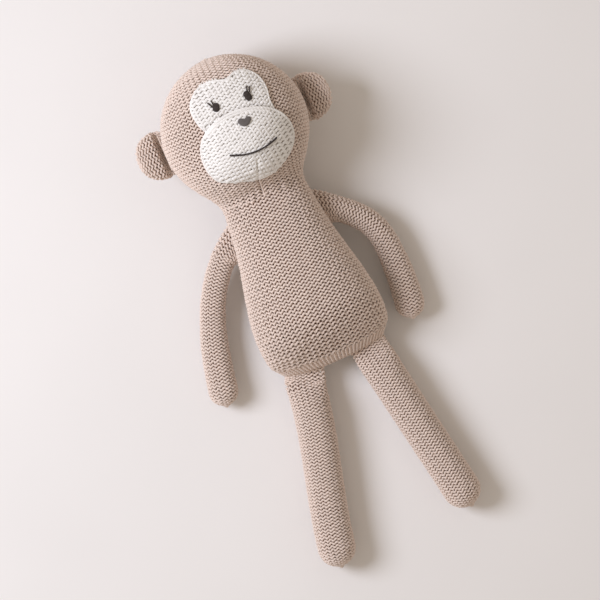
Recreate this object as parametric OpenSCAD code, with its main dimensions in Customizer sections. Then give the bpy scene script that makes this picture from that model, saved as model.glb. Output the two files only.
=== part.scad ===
// Knitted stuffed monkey, lying on its back: knitted tubes, their filling, the sewn face and the seams.
// Frame: +X towards the toy's left hand, +Y towards the top of its head, +Z up out of its belly.
// The origin is on the flat of its back, where it rests. Millimetres.

/* [Torso] */
// Half width of the belly at its widest
belly_half_width = 44; // [42:0.5:46]
// Half depth of the belly at its fullest
belly_half_depth = 32.3; // [32:0.1:33.5]
// Half width of the neck opening
neck_half_width = 30.2; // [30:0.1:32]
// Thickness of the knitted skin
skin = 1.5; // [1.2:0.1:1.8]

/* [Head] */
// Half width and half height of the head, seen from the front
head_radius = 50; // [47:1:52]
// Half depth of the head, from its back to its face
head_half_depth = 42; // [41:0.5:44]
// Height of the middle of the head above the resting surface
head_mid_z = 41.5; // [41:0.5:43]
// How far the padded muzzle stands out of the face
muzzle_rise = 8; // [6:0.5:10]

/* [Face] */
// Turn of the face in its own plane, clockwise seen from the front
face_tilt = 2.5; // [0:0.5:5]
// Half width of the eye mask
mask_half_width = 27; // [24:1:29]
// Half width of the muzzle
muzzle_half_width = 32; // [29:1:34]
// Half height of the muzzle
muzzle_half_height = 24; // [21:1:25]
// Distance from the middle of the face to each eye
eye_spread = 11.5; // [9:0.5:13]

/* [Arms] */
// Radius of the upper arm
upper_arm_radius = 8.7; // [8:0.1:9]
// Radius of the mitten hand
hand_radius = 10.2; // [9.5:0.1:10.6]
// Length of the left arm from its shoulder pivot
left_arm_length = 95; // [88:1:100]
// Length of the right arm from its shoulder pivot
right_arm_length = 101; // [88:1:104]

/* [Legs] */
// Radius of the leg tube
leg_radius = 13.7; // [12.5:0.1:14]
// Length of each leg from its hip pivot
leg_length = 120; // [105:1:130]

/* [Ears] */
// Half height of each ear along its base
ear_half_height = 16.4; // [14:0.2:17]
// Reach of each ear beyond its fold line
ear_reach = 16.5; // [13:0.5:18]
// Half thickness of each ear
ear_half_thickness = 5.6; // [5:0.1:6.5]

/* [Hidden] */

yarn_colour = [0.80, 0.70, 0.64];
cream_colour = [0.93, 0.91, 0.88];
filling_colour = [0.96, 0.95, 0.93];
dark_thread_colour = [0.25, 0.22, 0.21];
nose_colour = [0.43, 0.39, 0.38];

up = [0, 0, 1];
clearance = 0.4;        // between knitted pieces that move against each other
filling_gap = 0.2;      // between a skin and its filling
thread_radius = 0.5;
body_sides = 28;
limb_sides = 16;
thread_sides = 6;
cap_angle = 80;         // a rounded end stops this far round and is closed flat

// Neck: the head's lower end is a ball of revolution about the nod axis, held in the torso's cup.
nod_y = 63;
nod_z = 31;
ball_radius = 22;
ball_half_width = neck_half_width - 0.8;
cup_rim_y = 56;
head_y = 110;

// Torso stations from the hem to the cup rim: [y, half width, half depth, height of the middle]
hem_y = -59.5;
hem_z = 17;
torso_stations = [
    [hem_y, belly_half_width - 10, 2.3, hem_z],
    [hem_y + 1.5, belly_half_width - 7.5, 6, hem_z + 0.6],
    [-54, belly_half_width - 5.2, 12.5, 19.5],
    [-48, belly_half_width - 2.5, 20.5, 23],
    [-40, belly_half_width - 0.3, 27, 26.8],
    [-28, belly_half_width, belly_half_depth - 1, 30],
    [-12, belly_half_width - 1.6, belly_half_depth, 30.5],
    [8, belly_half_width - 5.8, belly_half_depth - 0.5, 30.5],
    [26, neck_half_width + 4, 29.2, 30.4],
    [42, neck_half_width + 1.6, 25.9, 30.7],
    [cup_rim_y, neck_half_width, 23.4, nod_z]
];

// Head stations between the ball and the round of the head
chin_stations = [
    [nod_y, ball_half_width, ball_radius, nod_z],
    [66.5, neck_half_width, 21.7, nod_z],
    [70, neck_half_width + 2.8, 21.1, nod_z],
    [74, neck_half_width + 6, 29, 37.4],
    [78, neck_half_width + 9, 32.2, 40.6]
];
round_from = -36;       // the round of the head begins at this angle below its middle

// Shoulders, hips and ears: pivots for the toy's left side, mirrored for its right
shoulder_pivot = [41, 34, 20];
hand_z = 10.3;
hip_x = 25;
hip_pivot_y = -66.2;
hip_root_radius = 5;
foot_z = 13.4;
ear_pivot = [52.2, 111.8, 28];
ear_root_radius = 4;
ear_shift_y = 1.7;      // the tilted head carries its right ear up and its left ear down

// Headings below the horizontal, in degrees: at the shoulder and at the hand
left_arm_headings = [36, 97];
right_arm_headings = [43, 80];
// Leg headings away from straight down: splay, and the extra bow halfway. A leg leaves its hip square.
left_leg_splay = [9.7, 0];
right_leg_splay = [7, 7.5];
spine_steps = 24;

face_centre = [4.5, 112];
patch_thickness = 1.4;
mask_lift = 0.3;
muzzle_lift = mask_lift + patch_thickness + 0.2;
mask_centre = [0, 15];
muzzle_centre = [-0.3, -15.5];
patch_sectors = 32;
patch_rings = 5;
small_rings = 3;
eye_height = 15.8;

// ---- Lofted solids -------------------------------------------------------------------------------

function unit(v) = v / norm(v);

function catmull(a, b, c, d, t) =
    0.5 * (2 * b + (c - a) * t + (2 * a - 5 * b + 4 * c - d) * t * t + (3 * b - a - 3 * c + d) * t * t * t);

function spline(p, per) = [
    for (i = [0 : len(p) - 2])
        for (k = [0 : per - 1])
            catmull(p[max(i - 1, 0)], p[i], p[i + 1], p[min(i + 2, len(p) - 1)], k / per),
    p[len(p) - 1]
];

// One ring of a loft: an ellipse of half width a and half depth c across the direction of travel
function ring(centre, travel, a, c, sides, upward = up) =
    let (t = unit(travel), s = unit(cross(t, upward)), u = cross(s, t))
    [for (i = [0 : sides - 1]) centre + a * cos(360 * i / sides) * s + c * sin(360 * i / sides) * u];

function raised(points, floor_z) = [for (p = points) [p[0], p[1], max(p[2], floor_z)]];

module loft(rings) {
    m = len(rings);
    n = len(rings[0]);
    walls = [
        for (i = [0 : m - 2])
            for (j = [0 : n - 1])
                let (k = (j + 1) % n)
                each [
                    [i * n + j, i * n + k, (i + 1) * n + k],
                    [i * n + j, (i + 1) * n + k, (i + 1) * n + j]
                ]
    ];
    first_cap = [for (j = [n - 1 : -1 : 0]) j];
    last_cap = [for (j = [0 : n - 1]) (m - 1) * n + j];
    polyhedron([for (r = rings) each r], concat([first_cap], walls, [last_cap]), convexity = 6);
}

module shell(colour) {
    color(colour)
        difference() {
            children(0);
            children(1);
        }
}

// A thread laid along a path
module thread(path, radius = thread_radius, upward = up) {
    last = len(path) - 1;
    loft([
        for (i = [0 : last])
            ring(path[i], path[min(i + 1, last)] - path[max(i - 1, 0)], radius, radius, thread_sides, upward)
    ]);
}

// A small drawn-up loop of yarn that closes the end of a tube, around the level direction it points in
module closing_loop(centre, direction) {
    color(yarn_colour)
        translate(centre)
            rotate([0, 0, atan2(direction[1], direction[0])])
                rotate([0, 90, 0])
                    rotate_extrude()
                        translate([2, 0])
                            circle(r = thread_radius, $fn = 24);
}

// ---- Torso ---------------------------------------------------------------------------------------

function station_ring(s, inset, sides) =
    raised(ring([0, s[0], s[3]], [0, 1, 0], s[1] - inset, s[2] - inset, sides), inset);

// Rings of the ball about the nod axis, larger than the head's own ball by extra
function ball_ring(angle, extra) =
    ring([0, nod_y + (ball_radius + extra) * sin(angle), nod_z], [0, 1, 0],
         (ball_half_width + extra) * cos(angle), (ball_radius + extra) * cos(angle), body_sides);

module torso_body(inset) {
    rim_y = cup_rim_y - 4 * inset;
    bottom_y = hem_y + inset;
    stations = [for (s = spline(torso_stations, 2)) if (s[0] > bottom_y + 0.4 && s[0] <= rim_y + 0.01) s];
    hem_station = torso_stations[0] + [inset, 0, 0, 0];
    cup = clearance + inset;
    rim_angle = asin((rim_y - nod_y) / (ball_radius + cup));
    cup_steps = 5;
    loft(concat(
        [for (s = concat([hem_station], stations)) station_ring(s, inset, body_sides)],
        [for (k = [0 : cup_steps])
            ball_ring(rim_angle - (cap_angle + rim_angle) * k / cup_steps, cup)]
    ));
}

module torso_skin() shell(yarn_colour) {
    torso_body(0);
    torso_body(skin);
}

module torso_stuffing() color(filling_colour) torso_body(skin + filling_gap);

// The yarn that gathers the neck, lying round the torso just below the cup
module neck_thread() {
    loop_y = 53;
    stand_off = thread_radius + 0.1;
    loop_a = neck_half_width + 0.35 + stand_off;
    loop_c = 24.1 + stand_off;
    color(yarn_colour)
        thread([for (t = [0 : 12 : 348]) [loop_a * cos(t), loop_y, nod_z + loop_c * sin(t)]],
               thread_radius, [0, 1, 0]);
}

// Ring of stitches round the root of an arm, against the torso's side
module shoulder_seam(side) {
    ring_radius = 6;
    color(yarn_colour)
        translate([side * (shoulder_pivot[0] - upper_arm_radius + 1.2), shoulder_pivot[1], shoulder_pivot[2]])
            rotate([0, 90, 0])
                rotate_extrude()
                    translate([ring_radius, 0])
                        circle(r = thread_radius, $fn = 24);
}

// Row of stitches that holds the top of a leg in the hem
module hip_seam(side) {
    half_length = leg_radius - 2;
    color(yarn_colour)
        translate([side * hip_x, hem_y - 0.75, hem_z])
            rotate([0, 90, 0])
                cylinder(r = thread_radius, h = 2 * half_length, center = true, $fn = 24);
}

// ---- Head ----------------------------------------------------------------------------------------

function head_station(angle) = [
    head_y + head_radius * sin(angle), head_radius * cos(angle), head_half_depth * cos(angle), head_mid_z
];

module head_body(inset) {
    ball_steps = 4;
    loft(concat(
        [for (k = [0 : ball_steps - 1]) ball_ring(-cap_angle + cap_angle * k / ball_steps, -inset)],
        [for (s = chin_stations) station_ring(s, inset, body_sides)],
        [for (angle = [round_from : 9.6 : cap_angle + 1]) let (s = head_station(angle))
            station_ring([head_y + (s[0] - head_y) * (head_radius - inset) / head_radius, s[1], s[2], s[3]],
                         inset * cos(angle), body_sides)]
    ));
}

module head_skin() shell(yarn_colour) {
    head_body(0);
    head_body(skin);
}

module head_stuffing() color(filling_colour) head_body(skin + filling_gap);

// The stitch that tucks the knit in under the chin
module chin_stitch() {
    tuck = [[1.9, 75.6, 70.9], [2, 73.3, 67.3], [2.1, 72.1, 63], [2.3, 71, 59], [2.4, 70.1, 55.8]];
    color(yarn_colour)
        thread(tuck);
}

module crown_thread() closing_loop([0, head_y + head_radius + 0.3, head_mid_z], [0, 1, 0]);

// ---- Face: thin curved pieces that follow the front of the head ------------------------------------

function head_front(x, y) =
    head_mid_z + head_half_depth
        * sqrt(max(0, 1 - pow(x / head_radius, 2) - pow((y - head_y) / head_radius, 2)));

// A point of the face's own plane, p across and q up, as x and y
function face_xy(p, q) = face_centre + [
    p * cos(face_tilt) + q * sin(face_tilt),
    -p * sin(face_tilt) + q * cos(face_tilt)
];

function on_face(p, q, lift) = let (f = face_xy(p, q)) [f[0], f[1], head_front(f[0], f[1]) + lift];

// Radius of a rounded rectangle of half width a and half height b in the direction t
function rounded(t, a, b, power) = pow(pow(abs(cos(t)) / a, power) + pow(abs(sin(t)) / b, power), -1 / power);

// A curved sheet inside an outline about a centre, between two lists of heights above the face,
// each from the middle to the edge
module face_sheet(centre, outline, top, bottom) {
    small = 0.06;
    rings = len(top) - 1;
    steps = [for (i = [0 : rings]) small + (1 - small) * i / rings];
    n = len(outline);
    function sheet_ring(r, lift) = [
        for (j = [0 : n - 1]) let (t = 360 * j / n)
            on_face(centre[0] + r * outline[j] * cos(t), centre[1] + r * outline[j] * sin(t), lift)
    ];
    loft(concat(
        [for (i = [0 : rings]) sheet_ring(steps[i], top[i])],
        [for (i = [rings : -1 : 0]) sheet_ring(steps[i], bottom[i])]
    ));
}

function sector_angles(n) = [for (j = [0 : n - 1]) 360 * j / n];

function dome(r) = pow(max(0, 1 - r * r), 0.7);

mask_outline = [
    for (t = sector_angles(patch_sectors))
        rounded(t, mask_half_width, 18, 2.7) - 1.6 * exp(-pow((t - 90) / 9, 2))
];
muzzle_outline = [
    for (t = sector_angles(patch_sectors)) rounded(t, muzzle_half_width, muzzle_half_height, 2.15)
];

// How far through the muzzle's outline a point of the face lies: 0 in the middle and 1 on the edge
function muzzle_share(p, q) =
    let (d = [p, q] - muzzle_centre, t = atan2(d[1], d[0]))
    norm(d) / rounded(t, muzzle_half_width, muzzle_half_height, 2.15);

function muzzle_top(p, q) = muzzle_lift + patch_thickness + muzzle_rise * dome(min(1, muzzle_share(p, q)));

module eye_mask() color(cream_colour)
    face_sheet(mask_centre, mask_outline,
               [for (i = [0 : patch_rings]) mask_lift + patch_thickness - (i == patch_rings ? 0.5 : 0)],
               [for (i = [0 : patch_rings]) mask_lift]);

module muzzle_patch() color(cream_colour)
    face_sheet(muzzle_centre, muzzle_outline,
               [for (i = [0 : patch_rings])
                   muzzle_lift + patch_thickness + muzzle_rise * dome(i / patch_rings)],
               [for (i = [0 : patch_rings]) muzzle_lift + muzzle_rise * dome(i / patch_rings)]);

module muzzle_padding() color(filling_colour)
    face_sheet(muzzle_centre, 0.86 * muzzle_outline,
               [for (i = [0 : patch_rings]) muzzle_lift + muzzle_rise * dome(0.9 * i / patch_rings) - 0.5],
               [for (i = [0 : patch_rings]) muzzle_lift]);

module eye(side) {
    eye_lift = mask_lift + patch_thickness + 0.1;
    color(dark_thread_colour)
        face_sheet([side * eye_spread, eye_height], [for (t = sector_angles(16)) rounded(t, 2.3, 2.9, 2)],
                   [for (i = [0 : small_rings]) eye_lift + 0.3 + 0.8 * dome(i / small_rings)],
                   [for (i = [0 : small_rings]) eye_lift]);
}

// Two short straight stitches above each eye, leaning away from the nose
module lashes(side) {
    lash_lift = mask_lift + patch_thickness + 0.7;
    lash_length = 4.2;
    color(dark_thread_colour)
        for (lean = [12, 38]) {
            root = [side * (eye_spread + 3.6 * sin(lean)), eye_height + 3.6 * cos(lean)];
            thread([
                for (s = [0 : 0.25 : 1])
                    on_face(root[0] + side * s * lash_length * sin(lean),
                            root[1] + s * lash_length * cos(lean), lash_lift)
            ], 0.4);
        }
}

nose_profile = [[-90, 3], [-60, 3.1], [-30, 3.8], [0, 4.6], [30, 4.7], [55, 4.1], [75, 3], [90, 2.4]];

module nose() {
    at = [3.4, 0];
    base = muzzle_top(at[0], at[1] - 3) + 0.6;
    color(nose_colour)
        face_sheet(at, [for (t = sector_angles(24)) lookup(asin(sin(t)), nose_profile)],
                   [for (i = [0 : small_rings]) base + 0.6 + 0.7 * dome(i / small_rings)],
                   [for (i = [0 : small_rings]) base]);
}

module mouth() {
    middle = [3, -21.4];
    half_chord = 16.2;
    sag = 3.7;
    color(dark_thread_colour)
        thread([
            for (s = [-1 : 0.125 : 1])
                let (p = middle[0] + s * half_chord, q = middle[1] + sag * s * s)
                on_face(p, q, muzzle_top(p, q) + 0.8)
        ], 0.55);
}

// ---- Ears: flat padded pads with a round root about the fold line -----------------------------------

function ear_centre(side) = [side * ear_pivot[0], ear_pivot[1] - side * ear_shift_y, ear_pivot[2]];

// Ear stations outwards from the root: [distance from the fold line, half height, half thickness]
function ear_stations(inset) = concat(
    [for (angle = [-cap_angle, -50, -25])
        [(ear_root_radius - inset) * sin(angle), ear_half_height - 2 + 1.4 * cos(angle) - inset,
         (ear_root_radius - inset) * cos(angle)]],
    [for (angle = [0 : 13 : cap_angle - 2])
        [(ear_reach - inset) * sin(angle), ear_half_height * pow(cos(angle), 0.75) - inset * cos(angle),
         (ear_half_thickness - inset) * cos(angle)
             - (ear_half_thickness - ear_root_radius) * max(0, 1 - angle / 30)]]
);

module ear_body(side, inset) {
    loft([
        for (s = ear_stations(inset))
            ring(ear_centre(side) + [side * s[0], 0, 0], [side, 0, 0], s[1], s[2], limb_sides)
    ]);
}

module ear_knit(side) shell(yarn_colour) {
    ear_body(side, 0);
    ear_body(side, skin);
}

module ear_padding(side) color(filling_colour) ear_body(side, skin + filling_gap);

// The line of stitches along the front of the ear's base
module ear_seam(side) {
    half_length = ear_half_height - 4;
    color(yarn_colour)
        translate(ear_centre(side) + [-side * 2.8, 0, 4.3])
            rotate([90, 0, 0])
                cylinder(r = thread_radius, h = 2 * half_length, center = true, $fn = 24);
}

// ---- Limbs: tubes along a curved spine -------------------------------------------------------------

// A spine from headings: direction(share) is the travel at each share of the length
function spine(start, length, directions) = [
    for (i = 0, p = start; i <= spine_steps; p = p + directions[i] * length / spine_steps, i = i + 1)
        [length * i / spine_steps, p[0], p[1]]
];

function along(spine, s) =
    let (first = spine[0], second = spine[1], back = min(0, s) / second[0])
    [
        lookup(s, [for (p = spine) [p[0], p[1]]]) + back * (second[1] - first[1]),
        lookup(s, [for (p = spine) [p[0], p[2]]]) + back * (second[2] - first[2])
    ];

// stations: [distance along the spine, half width, half depth, height above the resting surface]
module limb_body(spine, stations, inset) {
    look = 0.5;
    loft([
        for (s = stations)
            let (
                here = along(spine, s[0]),
                ahead = along(spine, s[0] + look) - along(spine, s[0] - look)
            )
            raised(ring([here[0], here[1], s[3]], [ahead[0], ahead[1], 0], s[1], s[2], limb_sides), inset)
    ]);
}

// Stations of the rounded end of a tube of radius r and length, drawn in by inset
function tip_stations(length, r, inset, z) = [
    for (angle = [0 : cap_angle / 5 : cap_angle + 1])
        [length - r + (r - inset) * sin(angle), (r - inset) * cos(angle), (r - inset) * cos(angle), z]
];

function arm_spine(side) =
    let (
        length = side > 0 ? left_arm_length : right_arm_length,
        h = side > 0 ? left_arm_headings : right_arm_headings
    )
    spine([side * shoulder_pivot[0], shoulder_pivot[1]], length, [
        for (i = [0 : spine_steps])
            let (t = (i + 0.5) / spine_steps, heading = h[1] - (h[1] - h[0]) * pow(max(0, 1 - t), 2))
            [side * cos(heading), -sin(heading)]
    ]);

function arm_z(share) = hand_z + (shoulder_pivot[2] - hand_z) * pow(1 - share, 2);

module arm_body(side, inset) {
    length = side > 0 ? left_arm_length : right_arm_length;
    limb_body(arm_spine(side), concat(
        [for (angle = [-cap_angle : cap_angle / 4 : -1])
            [(upper_arm_radius - inset) * sin(angle), (upper_arm_radius - inset) * cos(angle),
             (upper_arm_radius - inset) * cos(angle), shoulder_pivot[2]]],
        [for (share = [0 : 0.09 : 0.85])
            let (r = upper_arm_radius
                     + (hand_radius - upper_arm_radius) * pow(sin(90 * min(1, share / 0.8)), 2))
            [share * length, r - inset, r - inset, arm_z(share)]],
        tip_stations(length, hand_radius, inset, hand_z)
    ), inset);
}

module arm_skin(side) shell(yarn_colour) {
    arm_body(side, 0);
    arm_body(side, skin);
}

module arm_stuffing(side) color(filling_colour) arm_body(side, skin + filling_gap);

module hand_thread(side) {
    points = arm_spine(side);
    tip = points[spine_steps];
    before = points[spine_steps - 1];
    travel = unit([tip[1] - before[1], tip[2] - before[2], 0]);
    closing_loop([tip[1], tip[2], hand_z] + 0.3 * travel, travel);
}

function leg_spine(side) =
    let (splay = side > 0 ? left_leg_splay : right_leg_splay)
    spine([side * hip_x, hip_pivot_y], leg_length, [
        for (i = [0 : spine_steps])
            let (heading = min(1, i / 2) * (splay[0] + splay[1] * sin(180 * (i + 0.5) / spine_steps)))
            [side * sin(heading), -cos(heading)]
    ]);

function leg_z(share) = foot_z + (hem_z - foot_z) * pow(1 - share, 4);

module leg_body(side, inset) {
    root = hip_root_radius - inset;
    fill_length = 20;
    limb_body(leg_spine(side), concat(
        [for (angle = [-cap_angle : cap_angle / 3 : 1])
            [root * sin(angle), leg_radius - inset - 1.5 + 1.5 * cos(angle), root * cos(angle), hem_z]],
        [for (s = [4 : 4 : fill_length])
            [s, leg_radius - inset, root + (leg_radius - 0.2 - hip_root_radius) * sin(90 * s / fill_length),
             leg_z(s / leg_length)]],
        [for (share = [0.26 : 0.12 : 0.87])
            [share * leg_length, leg_radius - inset, leg_radius - 0.2 - inset, leg_z(share)]],
        tip_stations(leg_length, leg_radius - 0.2, inset, foot_z)
    ), inset);
}

module leg_skin(side) shell(yarn_colour) {
    leg_body(side, 0);
    leg_body(side, skin);
}

module leg_stuffing(side) color(filling_colour) leg_body(side, skin + filling_gap);

module foot_thread(side) {
    points = leg_spine(side);
    tip = points[spine_steps];
    before = points[spine_steps - 1];
    travel = unit([tip[1] - before[1], tip[2] - before[2], 0]);
    closing_loop([tip[1], tip[2], foot_z] + 0.3 * travel, travel);
}

torso_skin();
torso_stuffing();
neck_thread();
shoulder_seam(1);  // left_shoulder_seam
shoulder_seam(-1);  // right_shoulder_seam
hip_seam(1);  // left_hip_seam
hip_seam(-1);  // right_hip_seam
head_skin();
head_stuffing();
crown_thread();
chin_stitch();
eye_mask();
muzzle_patch();
muzzle_padding();
eye(1);  // left_eye
eye(-1);  // right_eye
lashes(1);  // left_lashes
lashes(-1);  // right_lashes
nose();
mouth();
ear_seam(1);  // left_ear_seam
ear_seam(-1);  // right_ear_seam
ear_knit(1);  // left_ear_knit
ear_padding(1);  // left_ear_padding
ear_knit(-1);  // right_ear_knit
ear_padding(-1);  // right_ear_padding
arm_skin(1);  // left_arm_skin
arm_stuffing(1);  // left_arm_stuffing
hand_thread(1);  // left_hand_thread
arm_skin(-1);  // right_arm_skin
arm_stuffing(-1);  // right_arm_stuffing
hand_thread(-1);  // right_hand_thread
leg_skin(1);  // left_leg_skin
leg_stuffing(1);  // left_leg_stuffing
foot_thread(1);  // left_foot_thread
leg_skin(-1);  // right_leg_skin
leg_stuffing(-1);  // right_leg_stuffing
foot_thread(-1);  // right_foot_thread
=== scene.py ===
"""Looks of the knitted monkey: every course of yarn is laid over the stuffed shapes of its body.
"""

import math

import bpy
import numpy as np
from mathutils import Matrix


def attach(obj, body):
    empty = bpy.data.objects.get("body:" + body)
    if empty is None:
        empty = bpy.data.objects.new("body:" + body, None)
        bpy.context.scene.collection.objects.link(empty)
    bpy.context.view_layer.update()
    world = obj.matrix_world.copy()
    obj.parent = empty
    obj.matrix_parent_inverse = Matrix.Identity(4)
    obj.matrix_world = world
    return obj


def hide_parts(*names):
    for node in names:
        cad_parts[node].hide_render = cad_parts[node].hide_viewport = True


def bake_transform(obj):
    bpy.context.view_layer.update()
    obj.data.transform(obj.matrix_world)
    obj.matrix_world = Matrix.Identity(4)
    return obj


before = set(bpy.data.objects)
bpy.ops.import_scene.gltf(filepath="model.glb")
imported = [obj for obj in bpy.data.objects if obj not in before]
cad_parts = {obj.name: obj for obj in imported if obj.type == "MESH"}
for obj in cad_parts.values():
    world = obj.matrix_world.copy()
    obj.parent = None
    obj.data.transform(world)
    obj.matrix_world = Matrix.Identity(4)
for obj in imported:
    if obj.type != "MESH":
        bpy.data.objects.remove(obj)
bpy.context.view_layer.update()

MM = 0.001

# Yarn. On the purl side the tops of one course's loops and the feet of the next make one wavy line,
# and the legs of the loops cross the gaps behind the lines.
WALE = 4.0  # width of one stitch
BODY_PITCH = 2.5  # from one course to the next
ARM_PITCH = 2.35
LEG_PITCH = 2.25
EAR_PITCH = 2.55
YARN_RADIUS = 0.74
WAVE = 0.27  # how far a line swings to each side, in courses
CROWN = 0.22  # how far the line stands out at its crests and troughs
LEG_RADIUS = 0.46  # of the yarn in the legs of the loops, and how deep they lie
LEG_DEPTH = 0.75
STEPS = 10  # points along one stitch
SIDES = 6  # sides of a strand's cross-section, and of a short strand's
SHORT_SIDES = 5
PLIES = 3.0  # in one yarn, and how far it is from one to the next along the yarn
PLY_PITCH = 2.4
PAINTED_SHADE_DEPTH = 1.75  # the dark sheet of painted shade that shows between the stitches, and the filling, below the surface that the yarn's middle lies on
FILLING_DEPTH = 3.4
RIB_PITCH = 1.3  # the hem's ribs, from one to the next, and how far they run up
RIB_LENGTH = 10.5
PROUD_RIB = (0.1, 0.84)  # how far every second rib stands out, and the radius of its yarn
SUNK_RIB = (-0.55, 0.7)
PROUD = 0.9  # how far the yarn's outside stands over the surface that its middle lies on
REST = 1.35  # height of the knit's surface where it lies on something, half its own thickness
REST_CORNER = 1.5  # how softly it turns up from there

# Sides and joints, the same as in the CAD model
SIDE = {"left": 1, "right": -1}
SHOULDER = np.array([41.0, 34.0, 20.0])
HIP = np.array([25.0, -66.2, 17.0])
EAR = np.array([52.2, 111.8, 28.0])
EAR_SHIFT = 1.7  # the tilted head carries its right ear up and its left ear down
EAR_REACH = 16.0
EAR_HALF_THICKNESS = 6.3
EAR_CUP = 0.42  # how fast an ear rises towards its tip
EAR_CREASE = 2.0  # how deep it sinks at its root


# ---- Meshes --------------------------------------------------------------------------------------


def make_mesh(name, points, quads, material, uv=None, chart=None, smooth=True):
    """A mesh object from points in millimetres and quads, with up to two UV layers, one value a corner."""
    mesh = bpy.data.meshes.new(name)
    quads = np.asarray(quads, np.int32)
    mesh.vertices.add(len(points))
    mesh.vertices.foreach_set("co", (np.asarray(points) * MM).astype(np.float32).ravel())
    mesh.loops.add(quads.size)
    mesh.loops.foreach_set("vertex_index", quads.ravel())
    mesh.polygons.add(len(quads))
    mesh.polygons.foreach_set("loop_start", np.arange(0, quads.size, 4, dtype=np.int32))
    mesh.polygons.foreach_set("loop_total", np.full(len(quads), 4, np.int32))
    mesh.polygons.foreach_set("use_smooth", np.full(len(quads), smooth))
    for layer, values in (("yarn", uv), ("OFBake", chart)):
        if values is not None:
            data = mesh.uv_layers.new(name=layer).data
            data.foreach_set("uv", np.asarray(values, np.float32).ravel())
    mesh.update(calc_edges=True)
    mesh.validate()
    mesh.materials.append(material)
    obj = bpy.data.objects.new(name, mesh)
    bpy.context.scene.collection.objects.link(obj)
    return obj


def unit(v):
    return v / np.maximum(np.linalg.norm(v, axis=-1, keepdims=True), 1e-9)


class Strands:
    """Lengths of yarn gathered into one mesh. Each strand gets its own strip of the UV chart."""

    def __init__(self, name, material):
        self.name = name
        self.material = material
        self.points = []
        self.quads = []
        self.uv = []
        self.strips = []
        self.count = 0

    def add(self, path, normals, radius, closed, flat=1.0):
        """A tube along path, with its cross-section turned to the surface's normals and flattened."""
        m, sides = len(path), SIDES
        if closed:
            travel = np.roll(path, -1, 0) - np.roll(path, 1, 0)
        else:
            travel = np.gradient(path, axis=0)
        travel = unit(travel)
        across = unit(np.cross(travel, normals))
        out = np.cross(across, travel)
        turn = np.arange(sides) * 2 * math.pi / sides
        radius = np.broadcast_to(radius, (m,))[:, None, None]
        ring = np.cos(turn)[:, None] * across[:, None] + flat * np.sin(turn)[:, None] * out[:, None]
        self.points.append((path[:, None] + radius * ring).reshape(-1, 3))
        steps = m if closed else m - 1
        i = np.arange(steps)[:, None]
        j = np.arange(sides)[None, :]
        i2 = (i + 1) % m
        j2 = (j + 1) % sides
        quads = np.stack([i * sides + j, i2 * sides + j, i2 * sides + j2, i * sides + j2], -1)
        self.quads.append(quads.reshape(-1, 4) + self.count)
        gaps = np.linalg.norm(np.roll(path, -1, 0) - path, axis=1)
        run = np.concatenate([[0], np.cumsum(gaps)])
        u = np.stack([run[i], run[i + 1], run[i + 1], run[i]], -1) + 0 * j[..., None]
        v = np.stack([j, j, j + 1, j + 1], -1) / sides + 0 * i[..., None]
        self.uv.append(np.stack([u, v], -1).reshape(-1, 2))
        share = np.stack([i, i + 1, i + 1, i], -1) / steps + 0 * j[..., None]
        self.strips.append(np.stack([share, v], -1).reshape(-1, 2))
        self.count += m * sides

    def add_short(self, paths, normals, radius):
        """Many short tubes of the same number of points, such as the legs of one course."""
        k, m = paths.shape[:2]
        sides = SHORT_SIDES
        travel = unit(np.gradient(paths, axis=1))
        across = unit(np.cross(travel, normals))
        out = np.cross(across, travel)
        turn = np.arange(sides) * 2 * math.pi / sides
        ring = np.cos(turn)[:, None] * across[:, :, None] + np.sin(turn)[:, None] * out[:, :, None]
        self.points.append((paths[:, :, None] + radius * ring).reshape(-1, 3))
        n = np.arange(k)[:, None, None] * m * sides
        i = np.arange(m - 1)[None, :, None]
        j = np.arange(sides)[None, None, :]
        j2 = (j + 1) % sides
        low, high = i * sides, (i + 1) * sides
        quads = np.stack([low + j, high + j, high + j2, low + j2], -1) + n[..., None]
        self.quads.append(quads.reshape(-1, 4) + self.count)
        u = np.stack([i, i + 1, i + 1, i], -1) * 1.2 + 0 * (j + n)[..., None]
        v = np.stack([j, j, j + 1, j + 1], -1) / sides + 0 * (i + n)[..., None]
        self.uv.append(np.stack([u, v], -1).reshape(-1, 2))
        step = np.stack([i, i + 1, i + 1, i], -1) / m
        place = (np.arange(k)[:, None, None, None] + step) / k + 0 * j[..., None]
        self.strips.append(np.stack([place, v], -1).reshape(-1, 2))
        self.count += k * m * sides

    def build(self):
        rows = len(self.strips)
        chart = [(s + [0, 0.1]) * [0.98, 0.8 / rows] + [0.01, k / rows] for k, s in enumerate(self.strips)]
        return make_mesh(
            self.name,
            np.concatenate(self.points),
            np.concatenate(self.quads),
            self.material,
            np.concatenate(self.uv),
            np.concatenate(chart),
        )


def hermite(stations, at):
    """Smooth values between stations, whose first column is the position; the slopes are the chords'."""
    stations = np.asarray(stations, float)
    x = stations[:, 0]
    slopes = np.gradient(stations[:, 1:], x, axis=0)
    k = np.clip(np.searchsorted(x, at, side="right") - 1, 0, len(x) - 2)
    h = (x[k + 1] - x[k])[:, None]
    t = ((at - x[k]) / (x[k + 1] - x[k]))[:, None]
    a, b = stations[k, 1:], stations[k + 1, 1:]
    return (
        a * (2 * t**3 - 3 * t**2 + 1)
        + slopes[k] * h * (t**3 - 2 * t**2 + t)
        + b * (3 * t**2 - 2 * t**3)
        + slopes[k + 1] * h * (t**3 - t**2)
    )


def smooth_step(x, low, high):
    t = np.clip((x - low) / (high - low), 0, 1)
    return t * t * (3 - 2 * t)


def floored(z):
    """z, kept above the resting surface with a soft corner."""
    d = z - REST
    return REST + 0.5 * (d + np.sqrt(d * d + REST_CORNER * REST_CORNER))


# ---- Surfaces ------------------------------------------------------------------------------------


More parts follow.
